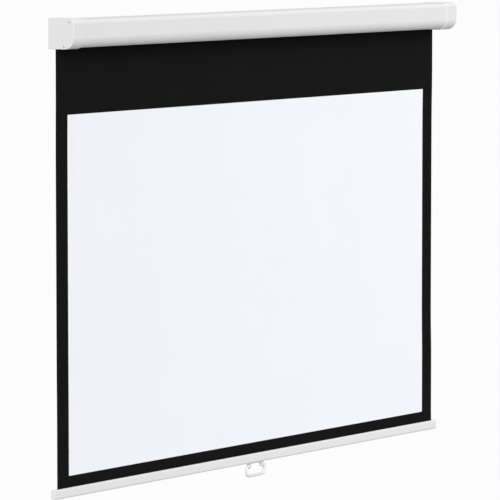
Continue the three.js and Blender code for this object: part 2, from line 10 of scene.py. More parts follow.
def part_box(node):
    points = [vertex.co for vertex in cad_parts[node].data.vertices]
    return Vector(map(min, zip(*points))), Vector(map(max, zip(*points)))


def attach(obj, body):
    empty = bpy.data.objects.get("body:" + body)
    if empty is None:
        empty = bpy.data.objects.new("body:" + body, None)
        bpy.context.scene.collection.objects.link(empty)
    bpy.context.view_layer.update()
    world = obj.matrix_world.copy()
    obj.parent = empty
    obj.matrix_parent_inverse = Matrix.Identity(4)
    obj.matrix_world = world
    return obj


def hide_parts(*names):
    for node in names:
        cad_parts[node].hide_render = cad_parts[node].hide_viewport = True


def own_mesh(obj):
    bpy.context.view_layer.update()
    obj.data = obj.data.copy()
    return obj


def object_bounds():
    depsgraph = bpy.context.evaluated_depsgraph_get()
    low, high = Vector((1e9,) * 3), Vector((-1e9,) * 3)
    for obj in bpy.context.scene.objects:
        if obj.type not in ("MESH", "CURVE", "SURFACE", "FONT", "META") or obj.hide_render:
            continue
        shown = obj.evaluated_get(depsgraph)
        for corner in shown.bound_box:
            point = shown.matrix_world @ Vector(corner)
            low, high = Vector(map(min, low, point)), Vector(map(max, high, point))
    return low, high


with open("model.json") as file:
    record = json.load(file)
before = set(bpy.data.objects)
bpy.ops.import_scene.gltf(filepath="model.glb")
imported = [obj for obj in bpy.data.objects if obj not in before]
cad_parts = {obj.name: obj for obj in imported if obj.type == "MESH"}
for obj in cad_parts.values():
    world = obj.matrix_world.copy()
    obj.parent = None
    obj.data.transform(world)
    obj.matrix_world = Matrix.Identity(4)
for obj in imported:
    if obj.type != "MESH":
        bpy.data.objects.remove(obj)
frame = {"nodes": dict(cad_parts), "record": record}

bl_info = {
    "name": "Pull Down Projector Screen",
    "version": (1, 0, 0),
    "blender": (4, 5, 0),
    "location": "View3D > Sidebar > Roller Screen",
    "description": "Finishes a wall hung roller screen: casing, fabric, bottom bar, handle and studio",
    "category": "Object",
}

# The box of the construction frame, and the corners of its nodes that the pieces are fitted to
CAD_LOW, CAD_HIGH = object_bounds()
CASING_LOW, CASING_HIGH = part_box("casing_shell")
CAP_LOW, CAP_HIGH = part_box("right_end_cap")
LEG_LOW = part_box("right_end_bracket")[0]
FABRIC_LOW, FABRIC_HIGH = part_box("screen_fabric")
DROP_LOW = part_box("top_black_drop")[0]
SIDE_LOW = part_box("right_black_border")[0]
WRAPS_LOW, WRAPS_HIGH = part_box("fabric_wraps")
TUBE_LOW, TUBE_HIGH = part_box("roller_tube")
ROD_LOW, ROD_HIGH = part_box("hem_rod")
BAR_LOW, BAR_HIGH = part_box("bottom_bar")
BAR_CAP_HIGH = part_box("bar_right_cap")[1]
PLATE_LOW, PLATE_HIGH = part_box("handle_bracket")
HANDLE_LOW, HANDLE_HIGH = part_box("pull_handle")

FABRIC_Y = (FABRIC_LOW.y + FABRIC_HIGH.y) / 2
ROLLER_Y = (TUBE_LOW.y + TUBE_HIGH.y) / 2
SIDES = {"left": -1, "right": 1}
QUARTER = math.pi / 2

# How far a cut runs past what it cuts, and how near counts as on a plane and as the same point
OVERRUN = 0.005
ON_PLANE = 1e-5
MEETING = 1e-7

# How finely the round forms are divided
CASING_STEPS = 12
CAP_STEPS = 14
BAR_STEPS = 8
HOLLOW_STEPS = 6
HEM_STEPS = 28
WRAP_STEPS = 72
EAR_STEPS = 20
BEND_STEPS = 14
RIM_STEPS = 4
DOME_STEPS = 8
ROD_SIDES = 32
HANDLE_SIDES = 24
END_SEGMENTS = 4
EDGE_SEGMENTS = 2
ROUND_PROFILE = 0.5

# Turns of the surface past which an edge looks sharp, and past which it is broken
SHARP_TURN = math.radians(32)
BROKEN_TURN = math.radians(50)

# The sheet's grid. Its waves lean as they go down, and a wider swell makes some of them shallower
COLUMN_WIDTH = 0.04
ROW_HEIGHT = 0.03
WAVE_LEAN = 1.6
SWELL_RATE = 0.37
SWELL_LEAN = 1.1
SWELL_START = 0.8

# The hem's loop: its room round the rod, where on the rod it starts and how far round it goes
HEM_ROOM = 0.0001
HEM_ENTRY = math.radians(100)
HEM_SWEEP = math.radians(342)

# Share of each spare turn's room on the roller that the fabric fills
WRAP_FILL = 0.8

# Places of the sheet's and the hem's materials on their meshes
SHEET_WHITE, SHEET_BLACK, SHEET_BACK = range(3)
HEM_BACK = 1

# Radians of its bands that the wave texture draws to a metre, at a scale of 1
WAVE_TEXTURE_RATE = 20


# Properties for the sizes and looks. Each is told its name, its description and its default


def number(name, description, default, **kind):
    return FloatProperty(name=name, description=description, default=default, **kind)


def vector(name, description, default, **kind):
    return FloatVectorProperty(name=name, description=description, default=default, size=3, **kind)


def length(*told):
    return number(*told, unit="LENGTH")


def factor(*told):
    return number(*told, min=0, max=1, subtype="FACTOR")


def angle(name, description, degrees):
    return number(name, description, math.radians(degrees), subtype="ANGLE")


def intensity(*told):
    return number(*told, min=0)


def colour(*told):
    return vector(*told, min=0, max=1, subtype="COLOR")


def direction(*told):
    return vector(*told, subtype="DIRECTION")


def position(*told):
    return vector(*told, subtype="TRANSLATION", unit="LENGTH")


class CasingSizes(bpy.types.PropertyGroup):
    """Sizes of the casing's section and of its end caps"""

    wall: length("Wall", "Thickness of the casing's sheet", 0.0016)
    upper_radius: length("Upper Front Radius", "Rounding of the upper front edge", 0.012)
    lower_radius: length("Lower Front Radius", "Rounding of the lower front edge", 0.030)
    slot: length("Fabric Slot", "Width of the slot that the fabric comes out of", 0.013)
    port_radius: length("Screw Port Radius", "Outer radius of the two screw ports inside", 0.0042)
    port_inset: length("Screw Port Inset", "How far the screw ports end short of the casing", 0.0064)
    leg_height: length("Bracket Leg Height", "Height of the wall legs that the notches clear", 0.052)
    edge: length("Edge Break", "Rounding of the casing's cut edges", 0.0002)
    cap_face: length("Cap Face", "Thickness of an end cap's face", 0.003)
    cap_edge: length("Cap Edge", "Rounding of an end cap's outer edges", 0.0014)
    gap: length("Seat Gap", "Room between pieces that seat on each other", 0.0003)


class FabricSizes(bpy.types.PropertyGroup):
    """Sizes of the projection fabric"""

    thickness: length("Thickness", "Thickness of the coated fabric", 0.0005)
    wave: length("Wave", "Height of the fabric's shallow waves", 0.0014)
    wave_width: length("Wave Width", "Distance from one wave to the next", 0.47)
    edge_curl: length("Edge Curl", "How far the side edges curl back to the wall", 0.0006)
    edge_width: length("Edge Width", "Width of the stretch that curls at each side", 0.12)
    still_end: length("Still End", "Height beside the roller and the bar in which the fabric is flat", 0.16)
    spare_turns: number("Spare Turns", "Turns that stay on the roller", 2)


class BarSizes(bpy.types.PropertyGroup):
    """Sizes of the bottom bar and its end caps"""

    wall: length("Wall", "Thickness of the bar's walls", 0.0015)
    corner: length("Corner Radius", "Rounding of the bar's long edges", 0.005)
    slot: length("Hem Slot", "Width of the slot that the fabric goes in by", 0.0032)
    channel: length("Hem Channel", "Inner height of the channel that holds the hem", 0.009)
    cap_edge: length("Cap Edge", "Rounding of the end caps' edges", 0.0009)
    spigot: length("Cap Spigot", "How far an end cap reaches into the bar", 0.012)


class HandleSizes(bpy.types.PropertyGroup):
    """Sizes of the pull handle and its bracket"""

    rod: length("Rod Radius", "Radius of the handle's rod", 0.0045)
    rod_edge: length("Rod End Rounding", "Rounding of the rims at the rod's ends", 0.0014)
    shoulder: length("Shoulder", "Bend where the rod leaves the bracket", 0.008)
    corner: length("Corner", "Bend at the lower corners of the loop", 0.014)
    pivot_drop: length("Pivot Drop", "Height from the bar's underside to the rod's pivots", 0.010)
    end_proud: length("End Proud", "How far the rod's ends stand out inside the ears", 0.0035)
    plate: length("Plate", "Thickness of the bracket's plate", 0.0016)
    ear: length("Ear", "Thickness of an ear", 0.0025)
    ear_inset: length("Ear Inset", "Distance from the plate's end to an ear", 0.004)
    ear_radius: length("Ear Radius", "Rounding below the pivot", 0.007)
    edge: length("Edge Break", "Rounding of the bracket's edges", 0.0003)


class ScrewSizes(bpy.types.PropertyGroup):
    """Sizes of the pan head screws"""

    shank: length("Shank Radius", "Radius of the shank", 0.0016)
    tip: factor("Tip", "Radius of the tip, as a share of the shank's", 0.4)
    taper: factor("Taper", "Length of the tapered end, as a share of the shank's radius", 0.75)
    head: length("Head Radius", "Radius of the head", 0.0034)
    head_height: length("Head Height", "Height of the head", 0.0022)
    rim: factor("Rim", "Share of the head's height that is straight, below its dome", 0.35)
    recess: length("Recess Length", "Length of each arm pair of the cross recess", 0.0040)
    recess_width: length("Recess Width", "Width of the recess's arms", 0.0009)
    recess_depth: length("Recess Depth", "Depth of the recess", 0.0010)


class Finishes(bpy.types.PropertyGroup):
    """Colours of the finishes"""

    paint: colour("Casing Paint", "White powder coat of the casing", (0.752, 0.752, 0.749))
    bar_paint: colour("Bar Paint", "White powder coat of the bottom bar", (0.77, 0.77, 0.767))
    plastic: colour("Cap Plastic", "White moulded plastic of the caps", (0.750, 0.750, 0.747))
    handle: colour("Handle Plastic", "White half gloss plastic of the handle", (0.74, 0.74, 0.736))
    white: colour("White Fabric", "Projection surface", (0.901, 0.916, 0.962))
    black: colour("Black Coat", "Masking coat round the picture", (0.0085, 0.0085, 0.0083))
    backing: colour("Black Backing", "Back of the fabric", (0.014, 0.014, 0.015))
    zinc: colour("Zinc", "Zinc plated steel", (0.62, 0.63, 0.65))
    spring: colour("Spring Steel", "Oiled spring wire", (0.20, 0.21, 0.22))
    aluminium: colour("Aluminium", "Roller tube in mill finish", (0.66, 0.67, 0.68))
    nylon: colour("Nylon", "Natural nylon of plugs and bushes", (0.72, 0.70, 0.64))


class StageSettings(bpy.types.PropertyGroup):
    """Camera, floor and lights"""

    camera_place: position("Camera Place", "Where the camera stands", (-10.263, -7.326, 0.432))
    camera_turn: angle("Camera Turn", "Turn from straight at the wall towards the right", 54.454)
    camera_tilt: angle("Camera Tilt", "Tilt of the camera below level", 4.94)
    lens: number("Lens", "Focal length in millimetres", 313.0)
    sensor: number("Sensor", "Sensor width in millimetres", 36.0)
    floor_drop: length("Floor Drop", "Height of the handle above the floor", 0.85)
    floor_size: length("Floor Size", "Half the side of the floor", 400.0)
    floor_colour: colour("Floor", "Pale floor, as it throws light back", (0.46, 0.46, 0.46))
    floor_seen: colour("Floor Seen", "Pale floor, as it takes the shadow", (0.99, 0.99, 0.99))
    floor_glow: factor("Floor Glow", "Share of plain white in the floor as it is seen", 0.88)
    sky: colour("Surroundings", "Colour of the light from all round", (1.0, 1.0, 1.0))
    sky_strength: intensity("Surroundings Strength", "Light from all round", 0.56)
    left_from: direction("Left Light From", "Where the broad light comes from", (-0.745, -0.570, 0.346))
    left_strength: intensity("Left Light Strength", "Broad light from the left and front", 2.36)
    softness: angle("Softness", "Width of the broad light as the object sees it", 40)
    box_place: position("Softbox Place", "Where the softbox on the right stands", (3.0, -4.0, 1.9))
    box_size: length("Softbox Size", "Side of the softbox on the right", 1.6)
    box_power: intensity("Softbox Power", "Power of the softbox on the right, in watts", 44)


# Outlines are lists of (y, z) points, run round once. A band is a pair of places on one axis


def arc(centre, radius, start, end, steps):
    """Points along an arc, with those at its two ends"""
    angles = [start + (end - start) * k / steps for k in range(steps + 1)]
    return [(centre[0] + radius * math.cos(a), centre[1] + radius * math.sin(a)) for a in angles]


def rectangle(band_y, band_z):
    (y0, y1), (z0, z1) = band_y, band_z
    return [(y0, z0), (y1, z0), (y1, z1), (y0, z1)]


def rounded_rectangle(band_y, band_z, radius, steps):
    (y0, y1), (z0, z1) = band_y, band_z
    corners = [(y0 + radius, z0 + radius), (y1 - radius, z0 + radius)]
    corners += [(y1 - radius, z1 - radius), (y0 + radius, z1 - radius)]
    starts = [2 * QUARTER, 3 * QUARTER, 0, QUARTER]
    points = []
    for corner, start in zip(corners, starts):
        points += arc(corner, radius, start, start + QUARTER, steps)
    return points


def around(middle, width):
    """A band of the given width about a middle"""
    return (middle - width / 2, middle + width / 2)


def past(band):
    """A band that runs past another at both ends, for a cut right through"""
    return (band[0] - OVERRUN, band[1] + OVERRUN)


def span(side, inner, outer):
    """A band on X between two distances from the screen's middle, on its left or right side"""
    return (inner, outer) if side > 0 else (-outer, -inner)


def across(line, k):
    """A unit vector square to a line of points at one of them"""
    before, after = line[max(0, k - 1)], line[min(len(line) - 1, k + 1)]
    return Vector((before[1] - after[1], after[0] - before[0])).normalized()


def strip_outline(line, thickness):
    """The outline of a strip that follows an open line of (y, z) points: down one face, up the other"""
    first, second = [], []
    for k, point in enumerate(line):
        offset = across(line, k) * thickness / 2
        first.append((point[0] + offset.x, point[1] + offset.y))
        second.append((point[0] - offset.x, point[1] - offset.y))
    return first + second[::-1]


def casing_outline(sizes, growth, back, steps):
    """The casing's section, grown or shrunk all round except at its back, which is given"""
    top = CASING_HIGH.z + growth
    front = CASING_LOW.y - growth
    upper = sizes.upper_radius + growth
    lower = sizes.lower_radius + growth
    points = [(back, -top), (back, top)]
    points += arc((front + upper, top - upper), upper, QUARTER, 2 * QUARTER, steps)
    points += arc((front + lower, lower - top), lower, 2 * QUARTER, 3 * QUARTER, 2 * steps)
    return points


def skinned(bm, rings):
    """Closes rings of points into a solid: first its two end faces, then those between the rings"""
    bm.faces.new(rings[0])
    bm.faces.new(rings[-1])
    for first, second in zip(rings, rings[1:]):
        for k in range(len(first)):
            after = (k + 1) % len(first)
            bm.faces.new((first[k], first[after], second[after], second[k]))
    bmesh.ops.recalc_face_normals(bm, faces=bm.faces)
    return bm


def prism(outline, ends):
    """A closed length along X of an outline, as a bmesh"""
    bm = bmesh.new()
    return skinned(bm, [[bm.verts.new((x, y, z)) for y, z in outline] for x in ends])


def block(band_x, band_y, band_z):
    return prism(rectangle(band_y, band_z), band_x)


def rod(centre, radius, ends):
    return prism(arc(centre, radius, 0, 4 * QUARTER, ROD_SIDES)[:-1], ends)


def upright_rod(place, radius, band_z):
    bm = rod((0, 0), radius, band_z)
    bmesh.ops.transform(bm, matrix=Matrix.Rotation(-QUARTER, 4, "Y"), verts=bm.verts)
    bmesh.ops.translate(bm, vec=(place[0], place[1], 0), verts=bm.verts)
    return bm


def lies_at(edge, x):
    return all(abs(vertex.co.x - x) < ON_PLANE for vertex in edge.verts)


def rounded_ends(bm, ends, radius):
    """Rounds the edges round the end faces that lie at the given places on X"""
    rims = [edge for edge in bm.edges if any(lies_at(edge, x) for x in ends)]
    bmesh.ops.bevel(
        bm, geom=rims, offset=radius, segments=END_SEGMENTS, profile=ROUND_PROFILE, affect="EDGES",
        clamp_overlap=True,
    )
    return bm


def shaded(bm):
    """Smooth faces, with sharp edges between them where the surface turns sharply"""
    for face in bm.faces:
        face.smooth = True
    for edge in bm.edges:
        edge.smooth = len(edge.link_faces) == 2 and edge.calc_face_angle(0) < SHARP_TURN
    return bm


def added(name, data):
    thing = bpy.data.objects.new(name, data)
    bpy.context.scene.collection.objects.link(thing)
    return thing


def as_object(name, bm, *slots):
    mesh = bpy.data.meshes.new(name)
    shaded(bm).to_mesh(mesh)
    bm.free()
    for slot in slots:
        mesh.materials.append(finish_for(slot))
    return added(name, mesh)


def apply_modifiers(piece):
    depsgraph = bpy.context.evaluated_depsgraph_get()
    mesh = bpy.data.meshes.new_from_object(piece.evaluated_get(depsgraph))
    piece.modifiers.clear()
    piece.data = mesh


def cleaned(piece):
    """Applies a piece's modifiers, makes points that meet one point and shades it afresh"""
    apply_modifiers(piece)
    bm = bmesh.new()
    bm.from_mesh(piece.data)
    bmesh.ops.remove_doubles(bm, verts=bm.verts, dist=MEETING)
    shaded(bm).to_mesh(piece.data)
    bm.free()
    return piece


def combined(piece, operation, solids):
    """Joins closed solids to a piece, or cuts them out of it"""
    tools = [as_object("tool", bm) for bm in solids]
    for tool in tools:
        modifier = piece.modifiers.new("combine", "BOOLEAN")
        modifier.operation = operation
        modifier.solver = "EXACT"
        modifier.object = tool
    cleaned(piece)
    for tool in tools:
        bpy.data.objects.remove(tool)
    return piece


def cut(piece, *solids):
    return combined(piece, "DIFFERENCE", solids)


def joined(piece, *solids):
    return combined(piece, "UNION", solids)


def edges_broken(piece, width):
    """A small rounding on every edge where the surface turns far enough"""
    modifier = piece.modifiers.new("edges", "BEVEL")
    modifier.width = width
    modifier.segments = EDGE_SEGMENTS
    modifier.limit_method = "ANGLE"
    modifier.angle_limit = BROKEN_TURN
    modifier.use_clamp_overlap = True
    return cleaned(piece)


def placed(piece, body, slot, *nodes):
    """Puts a piece in place of construction nodes, on the body that carries them"""
    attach(piece, body)
    if nodes:
        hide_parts(*nodes)
    return piece


def placed_hard(piece, body, slot, *nodes):
    """Places a hard piece, whose wide faces are kept flat to the eye beside their rounded edges"""
    modifier = piece.modifiers.new("even", "WEIGHTED_NORMAL")
    modifier.mode = "FACE_AREA"
    modifier.keep_sharp = True
    apply_modifiers(piece)
    return placed(piece, body, slot, *nodes)


def feed(node, inputs):
    """Puts numbers or other nodes' outputs on a shader node's inputs"""
    for name, value in inputs.items():
        if isinstance(value, bpy.types.NodeSocket):
            node.id_data.links.new(value, node.inputs[name])
        else:
            node.inputs[name].default_value = value


def made(tree, kind, output, inputs, **settings):
    """Adds a shader node with what goes on its inputs, and gives one of its outputs"""
    node = tree.nodes.new("ShaderNode" + kind)
    for name, value in settings.items():
        setattr(node, name, value)
    feed(node, inputs)
    return node.outputs[output]


# Materials. Each is made once and kept here under its slot
MADE_FINISHES = {}


class Finish:
    """A material with its shader, and short ways to add texture to it"""

    def __init__(self, name, base, roughness, metallic=0.0, specular=0.5):
        self.material = bpy.data.materials.new(name)
        self.material.use_nodes = True
        self.tree = self.material.node_tree
        self.shader = self.tree.nodes["Principled BSDF"]
        looks = {"Roughness": roughness, "Metallic": metallic, "Specular IOR Level": specular}
        feed(self.shader, {"Base Color": (*base, 1), **looks})
        self.place = made(self.tree, "TexCoord", "Object", {})
        self.relief = {}

    def stretched(self, scale):
        """The place on the object, scaled by its own number along each axis"""
        return made(self.tree, "Mapping", "Vector", {"Vector": self.place, "Scale": scale})

    def noise(self, scale, detail=3.0, place=None):
        inputs = {"Vector": place or self.place, "Scale": scale, "Detail": detail}
        return made(self.tree, "TexNoise", "Fac", inputs)

    def threads(self, axis, pitch):
        """Slightly uneven bands that follow each other along an axis at the given pitch"""
        scale = 4 * QUARTER / (WAVE_TEXTURE_RATE * pitch)
        inputs = {"Vector": self.place, "Scale": scale, "Distortion": 0.6, "Detail Scale": 2.0}
        return made(self.tree, "TexWave", "Fac", inputs, bands_direction=axis)

    def ranged(self, value, low, high, source=(0.3, 0.7)):
        """Spreads the range that a texture mostly keeps to over another range"""
        ranges = {"From Min": source[0], "From Max": source[1], "To Min": low, "To Max": high}
        return made(self.tree, "MapRange", "Result", {"Value": value, **ranges})

    def product(self, first, second):
        return made(self.tree, "Math", "Value", {0: first, 1: second}, operation="MULTIPLY")

    def tint(self, value, low, high):
        """Gives the surface a colour between two, the first where the value is 0"""
        inputs = {"Factor": value, "A": (*low, 1), "B": (*high, 1)}
        feed(self.shader, {"Base Color": made(self.tree, "Mix", "Result", inputs, data_type="RGBA")})

    def rough(self, value):
        feed(self.shader, {"Roughness": value})

    def bump(self, height, strength, depth):
        """Adds relief, its depth in metres, on top of any relief that the surface has"""
        inputs = {"Height": height, "Strength": strength, "Distance": depth, **self.relief}
        self.relief = {"Normal": made(self.tree, "Bump", "Normal", inputs)}
        feed(self.shader, self.relief)


def shade_of(base, share):
    return tuple(share * channel for channel in base)


def powder_coat(name, base):
    """Baked powder paint: a fine orange peel, and a slight unevenness where dust settles"""
    finish = Finish(name, base, roughness=0.62, specular=0.3)
    finish.tint(finish.ranged(finish.noise(9, detail=5), 0, 1), shade_of(base, 0.985), base)
    finish.rough(finish.ranged(finish.noise(60), 0.59, 0.65))
    finish.bump(finish.noise(420, detail=2), strength=0.10, depth=0.0004)
    finish.bump(finish.noise(1600, detail=2), strength=0.06, depth=0.0001)
    return finish.material


def moulded_plastic(name, base, roughness, grain):
    """Moulded plastic with a fine spark grain"""
    finish = Finish(name, base, roughness)
    finish.tint(finish.ranged(finish.noise(14, detail=4), 0, 1), shade_of(base, 0.97), base)
    finish.rough(finish.ranged(finish.noise(90), roughness - 0.05, roughness + 0.06))
    finish.bump(finish.noise(2200, detail=2), strength=grain, depth=0.0002)
    return finish.material


def plated_steel(name, base, roughness):
    """Rolled steel with a bright plate: faint rolling lines and a cloudy, slightly warm bloom"""
    finish = Finish(name, base, roughness, metallic=1.0)
    warm = (base[0], 0.985 * base[1], 0.93 * base[2])
    finish.tint(finish.ranged(finish.noise(70, detail=4), 0, 1), shade_of(base, 0.86), warm)
    lines = finish.noise(60, place=finish.stretched((1, 14, 40)))
    finish.rough(finish.ranged(lines, roughness - 0.08, roughness + 0.12))
    finish.bump(lines, strength=0.12, depth=0.0001)
    return finish.material


def drawn_aluminium(name, base):
    """Extruded tube in mill finish, with die lines along it"""
    finish = Finish(name, base, roughness=0.38, metallic=1.0)
    lines = finish.noise(40, detail=4, place=finish.stretched((0.6, 60, 60)))
    finish.tint(finish.ranged(lines, 0, 1), shade_of(base, 0.88), base)
    finish.rough(finish.ranged(lines, 0.30, 0.46))
    finish.bump(lines, strength=0.10, depth=0.0001)
    return finish.material


def natural_nylon(name, base):
    """Moulded nylon, a little uneven in tone"""
    finish = Finish(name, base, roughness=0.5)
    finish.tint(finish.ranged(finish.noise(40, detail=4), 0, 1), shade_of(base, 0.93), base)
    finish.rough(finish.ranged(finish.noise(120), 0.42, 0.58))
    finish.bump(finish.noise(900, detail=2), strength=0.08, depth=0.0001)
    return finish.material


def coated_fabric(name, base, pitch, relief, specular, cloud_and_weave_shade):
    """Woven cloth under a matte coat: fine threads both ways, a cloudy spread of the coat, and painted shade
    between the threads' crowns
    """
    finish = Finish(name, base, roughness=0.92, specular=specular)
    weave = finish.product(finish.threads("X", pitch), finish.threads("Z", pitch))
    # Painted shade: the colour is darker in the hollows between the threads' crowns, and also at random in
    # the coat's cloudy spread
    weave_shade_mask = finish.ranged(weave, 0.25, 1, source=(0, 0.5))
    cloud = finish.ranged(finish.noise(5, detail=5), 0.6, 1)
    finish.tint(finish.product(cloud, weave_shade_mask), shade_of(base, 1 - cloud_and_weave_shade), base)
    finish.rough(finish.ranged(finish.noise(240), 0.86, 0.97))
    finish.bump(weave, strength=relief, depth=0.5 * pitch)
    return finish.material


def finish_for(slot):
    """The material of one of the record's slots, or of the fabric's back, made when first asked for"""
    colours = bpy.context.scene.screen_finishes
    # Each row has the function, what it calls the material and its colour, then its other arguments
    makers = {
        "casing_paint": (powder_coat, "casing_powder_coat", colours.paint),
        "bar_paint": (powder_coat, "bar_powder_coat", colours.bar_paint),
        "cap_plastic": (moulded_plastic, "matte_cap_plastic", colours.plastic, 0.57, 0.16),
        "handle_plastic": (moulded_plastic, "smooth_handle_plastic", colours.handle, 0.30, 0.04),
        "zinc_steel": (plated_steel, "bright_zinc_plate", colours.zinc, 0.36),
        "spring_steel": (plated_steel, "oiled_spring_wire", colours.spring, 0.30),
        "roller_aluminium": (drawn_aluminium, "drawn_tube_aluminium", colours.aluminium),
        "nylon": (natural_nylon, "natural_nylon", colours.nylon),
        "fabric_white": (coated_fabric, "white_matte_coat", colours.white, 0.0006, 0.12, 0.15, 0.035),
        "fabric_black": (coated_fabric, "black_masking_coat", colours.black, 0.0006, 0.20, 0.04, 0.45),
        "fabric_backing": (coated_fabric, "black_back_coat", colours.backing, 0.0009, 0.25, 0.06, 0.40),
    }
    if slot not in MADE_FINISHES:
        maker, *arguments = makers[slot]
        MADE_FINISHES[slot] = maker(*arguments)
    return MADE_FINISHES[slot]


class ROLLER_SCREEN_OT_casing(bpy.types.Operator):
    """Make the casing: a painted sheet housing with a fabric slot, screw ports and wall notches"""

    bl_idname = "roller_screen.casing"
    bl_label = "Casing"

    def execute(self, context):
        sizes = context.scene.screen_casing
        ends = (CASING_LOW.x, CASING_HIGH.x)
        outside = casing_outline(sizes, 0, 0, CASING_STEPS)
        inside = casing_outline(sizes, -sizes.wall, -sizes.wall, CASING_STEPS)
        housing = as_object("casing_housing", prism(outside, ends), "casing_paint")
        cut(housing, prism(inside, past(ends)))
        ports = screw_ports(sizes)
        port_ends = (ends[0] + sizes.port_inset, ends[1] - sizes.port_inset)
        joined(housing, *[rod(port, sizes.port_radius, port_ends) for port in ports])
        bores = [rod(port, screw_hole(context.scene), past(ends)) for port in ports]
        slot_z = (CASING_LOW.z - OVERRUN, CASING_LOW.z + 2 * sizes.wall)
        slot = block(past(ends), around(FABRIC_Y, sizes.slot), slot_z)
        cut(housing, *bores, slot, *wall_notches(sizes))
        edges_broken(housing, sizes.edge)
        placed_hard(housing, "casing", "casing_paint", "casing_shell")
        return {"FINISHED"}


def screw_ports(sizes):
    """Where the casing's two screw ports run, as (y, z) points"""
    height = CASING_HIGH.z - sizes.wall / 2 - sizes.port_radius
    return [
        (CASING_LOW.y + sizes.upper_radius, height),
        (CASING_LOW.y + sizes.lower_radius, -height),
    ]


def screw_hole(scene):
    """Radius of the holes that the screws go through"""
    return scene.screen_screws.shank + scene.screen_casing.gap


def wall_notches(sizes):
    """Solids that cut the casing's back open round the brackets' wall legs"""
    depth = (-sizes.wall - sizes.gap, OVERRUN)
    height = around(0, sizes.leg_height + 2 * sizes.gap)
    widths = [span(side, LEG_LOW.x - sizes.gap, CASING_HIGH.x + OVERRUN) for side in SIDES.values()]
    return [block(width, depth, height) for width in widths]


class ROLLER_SCREEN_OT_end_caps(bpy.types.Operator):
    """Make the two end caps that sleeve over the casing"""

    bl_idname = "roller_screen.end_caps"
    bl_label = "End Caps"

    def execute(self, context):
        sizes = context.scene.screen_casing
        face = CAP_HIGH.x - sizes.cap_face
        bore = screw_hole(context.scene)
        outside = casing_outline(sizes, CAP_HIGH.z - CASING_HIGH.z, 0, CAP_STEPS)
        inside = casing_outline(sizes, sizes.gap, OVERRUN, CAP_STEPS)
        for name, side in SIDES.items():
            ends = span(side, CAP_LOW.x, CAP_HIGH.x)
            shell = rounded_ends(prism(outside, ends), ends, sizes.cap_edge)
            cap = as_object(f"{name}_cap", shell, "cap_plastic")
            sleeve = prism(inside, span(side, CAP_LOW.x - OVERRUN, face))
            slot = block(
                span(side, CAP_LOW.x - OVERRUN, TUBE_HIGH.x),
                around(FABRIC_Y, sizes.slot),
                (CAP_LOW.z - OVERRUN, CASING_LOW.z),
            )
            through_face = span(side, face - OVERRUN, CAP_HIGH.x + OVERRUN)
            cut(cap, sleeve, slot, *[rod(port, bore, through_face) for port in screw_ports(sizes)])
            placed_hard(cap, "casing", "cap_plastic", f"{name}_end_cap")
        return {"FINISHED"}


class ROLLER_SCREEN_OT_fabric(bpy.types.Operator):
    """Hang the projection fabric: black drop, white picture area and black borders"""

    bl_idname = "roller_screen.fabric"
    bl_label = "Fabric"

    def execute(self, context):
        sizes = context.scene.screen_fabric
        bottom = SIDE_LOW.z
        columns = stations([-FABRIC_HIGH.x, -SIDE_LOW.x, SIDE_LOW.x, FABRIC_HIGH.x], COLUMN_WIDTH)
        rows = stations([FABRIC_HIGH.z, DROP_LOW.z, bottom], ROW_HEIGHT)
        mesh = sheet_mesh(sizes, columns, rows)
        sheet = as_object("projection_fabric", mesh, "fabric_white", "fabric_black", "fabric_backing")
        placed(
            sheet, "casing", "fabric_white",
            "screen_fabric", "top_black_drop",
            "left_black_border", "right_black_border", "bottom_black_border",
        )
        hem = as_object("bottom_hem", hem_mesh(sizes, bottom), "fabric_black", "fabric_backing")
        placed(hem, "bottom_bar", "fabric_black")
        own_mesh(sheet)
        return {"FINISHED"}


def stations(places, step):
    """Places along a line, with even steps of about the given length between them"""
    points = [places[0]]
    for start, end in zip(places, places[1:]):
        count = max(1, round(abs(end - start) / step))
        points += [start + (end - start) * k / count for k in range(1, count + 1)]
    return points


def smooth(share):
    return share * share * (3 - 2 * share)


def fabric_wave(sizes, x, z):
    """How far the hanging fabric stands off its plane, towards the wall"""
    below_roller = min(1, max(0, -z - sizes.still_end) / sizes.still_end)
    above_bar = min(1, max(0, z - SIDE_LOW.z - sizes.still_end) / sizes.still_end)
    phase = 4 * QUARTER * x / sizes.wave_width
    swell = math.sin(SWELL_RATE * phase + SWELL_LEAN * z + SWELL_START)
    wave = sizes.wave / 2 * (1 + math.sin(phase + WAVE_LEAN * z) * swell)
    into_edge = max(0, abs(x) - FABRIC_HIGH.x + sizes.edge_width) / sizes.edge_width
    return smooth(below_roller) * smooth(above_bar) * (wave + sizes.edge_curl * into_edge**2)


def sheet_mesh(sizes, columns, rows):
    """The sheet, with its picture area, drop and borders in front, its back, and a black rim"""
    bm = bmesh.new()
    half = sizes.thickness / 2
    front, back = [
        [[bm.verts.new((x, FABRIC_Y + offset + fabric_wave(sizes, x, z), z)) for x in columns] for z in rows]
        for offset in (-half, half)
    ]
    for i in range(len(rows) - 1):
        for k in range(len(columns) - 1):
            in_drop = rows[i + 1] > DROP_LOW.z - ON_PLANE
            in_border = abs(columns[k] + columns[k + 1]) / 2 > SIDE_LOW.x
            face = bm.faces.new((front[i][k], front[i + 1][k], front[i + 1][k + 1], front[i][k + 1]))
            face.material_index = SHEET_BLACK if in_drop or in_border else SHEET_WHITE
            face = bm.faces.new((back[i][k], back[i][k + 1], back[i + 1][k + 1], back[i + 1][k]))
            face.material_index = SHEET_BACK
    rim = [(0, k) for k in range(len(columns))]
    rim += [(i, len(columns) - 1) for i in range(1, len(rows))]
    rim += [(len(rows) - 1, k) for k in range(len(columns) - 2, -1, -1)]
    rim += [(i, 0) for i in range(len(rows) - 2, 0, -1)]
    for (i, k), (j, m) in zip(rim, rim[1:] + rim[:1]):
        face = bm.faces.new((front[i][k], front[j][m], back[j][m], back[i][k]))
        face.material_index = SHEET_BLACK
    bmesh.ops.recalc_face_normals(bm, faces=bm.faces)
    return bm


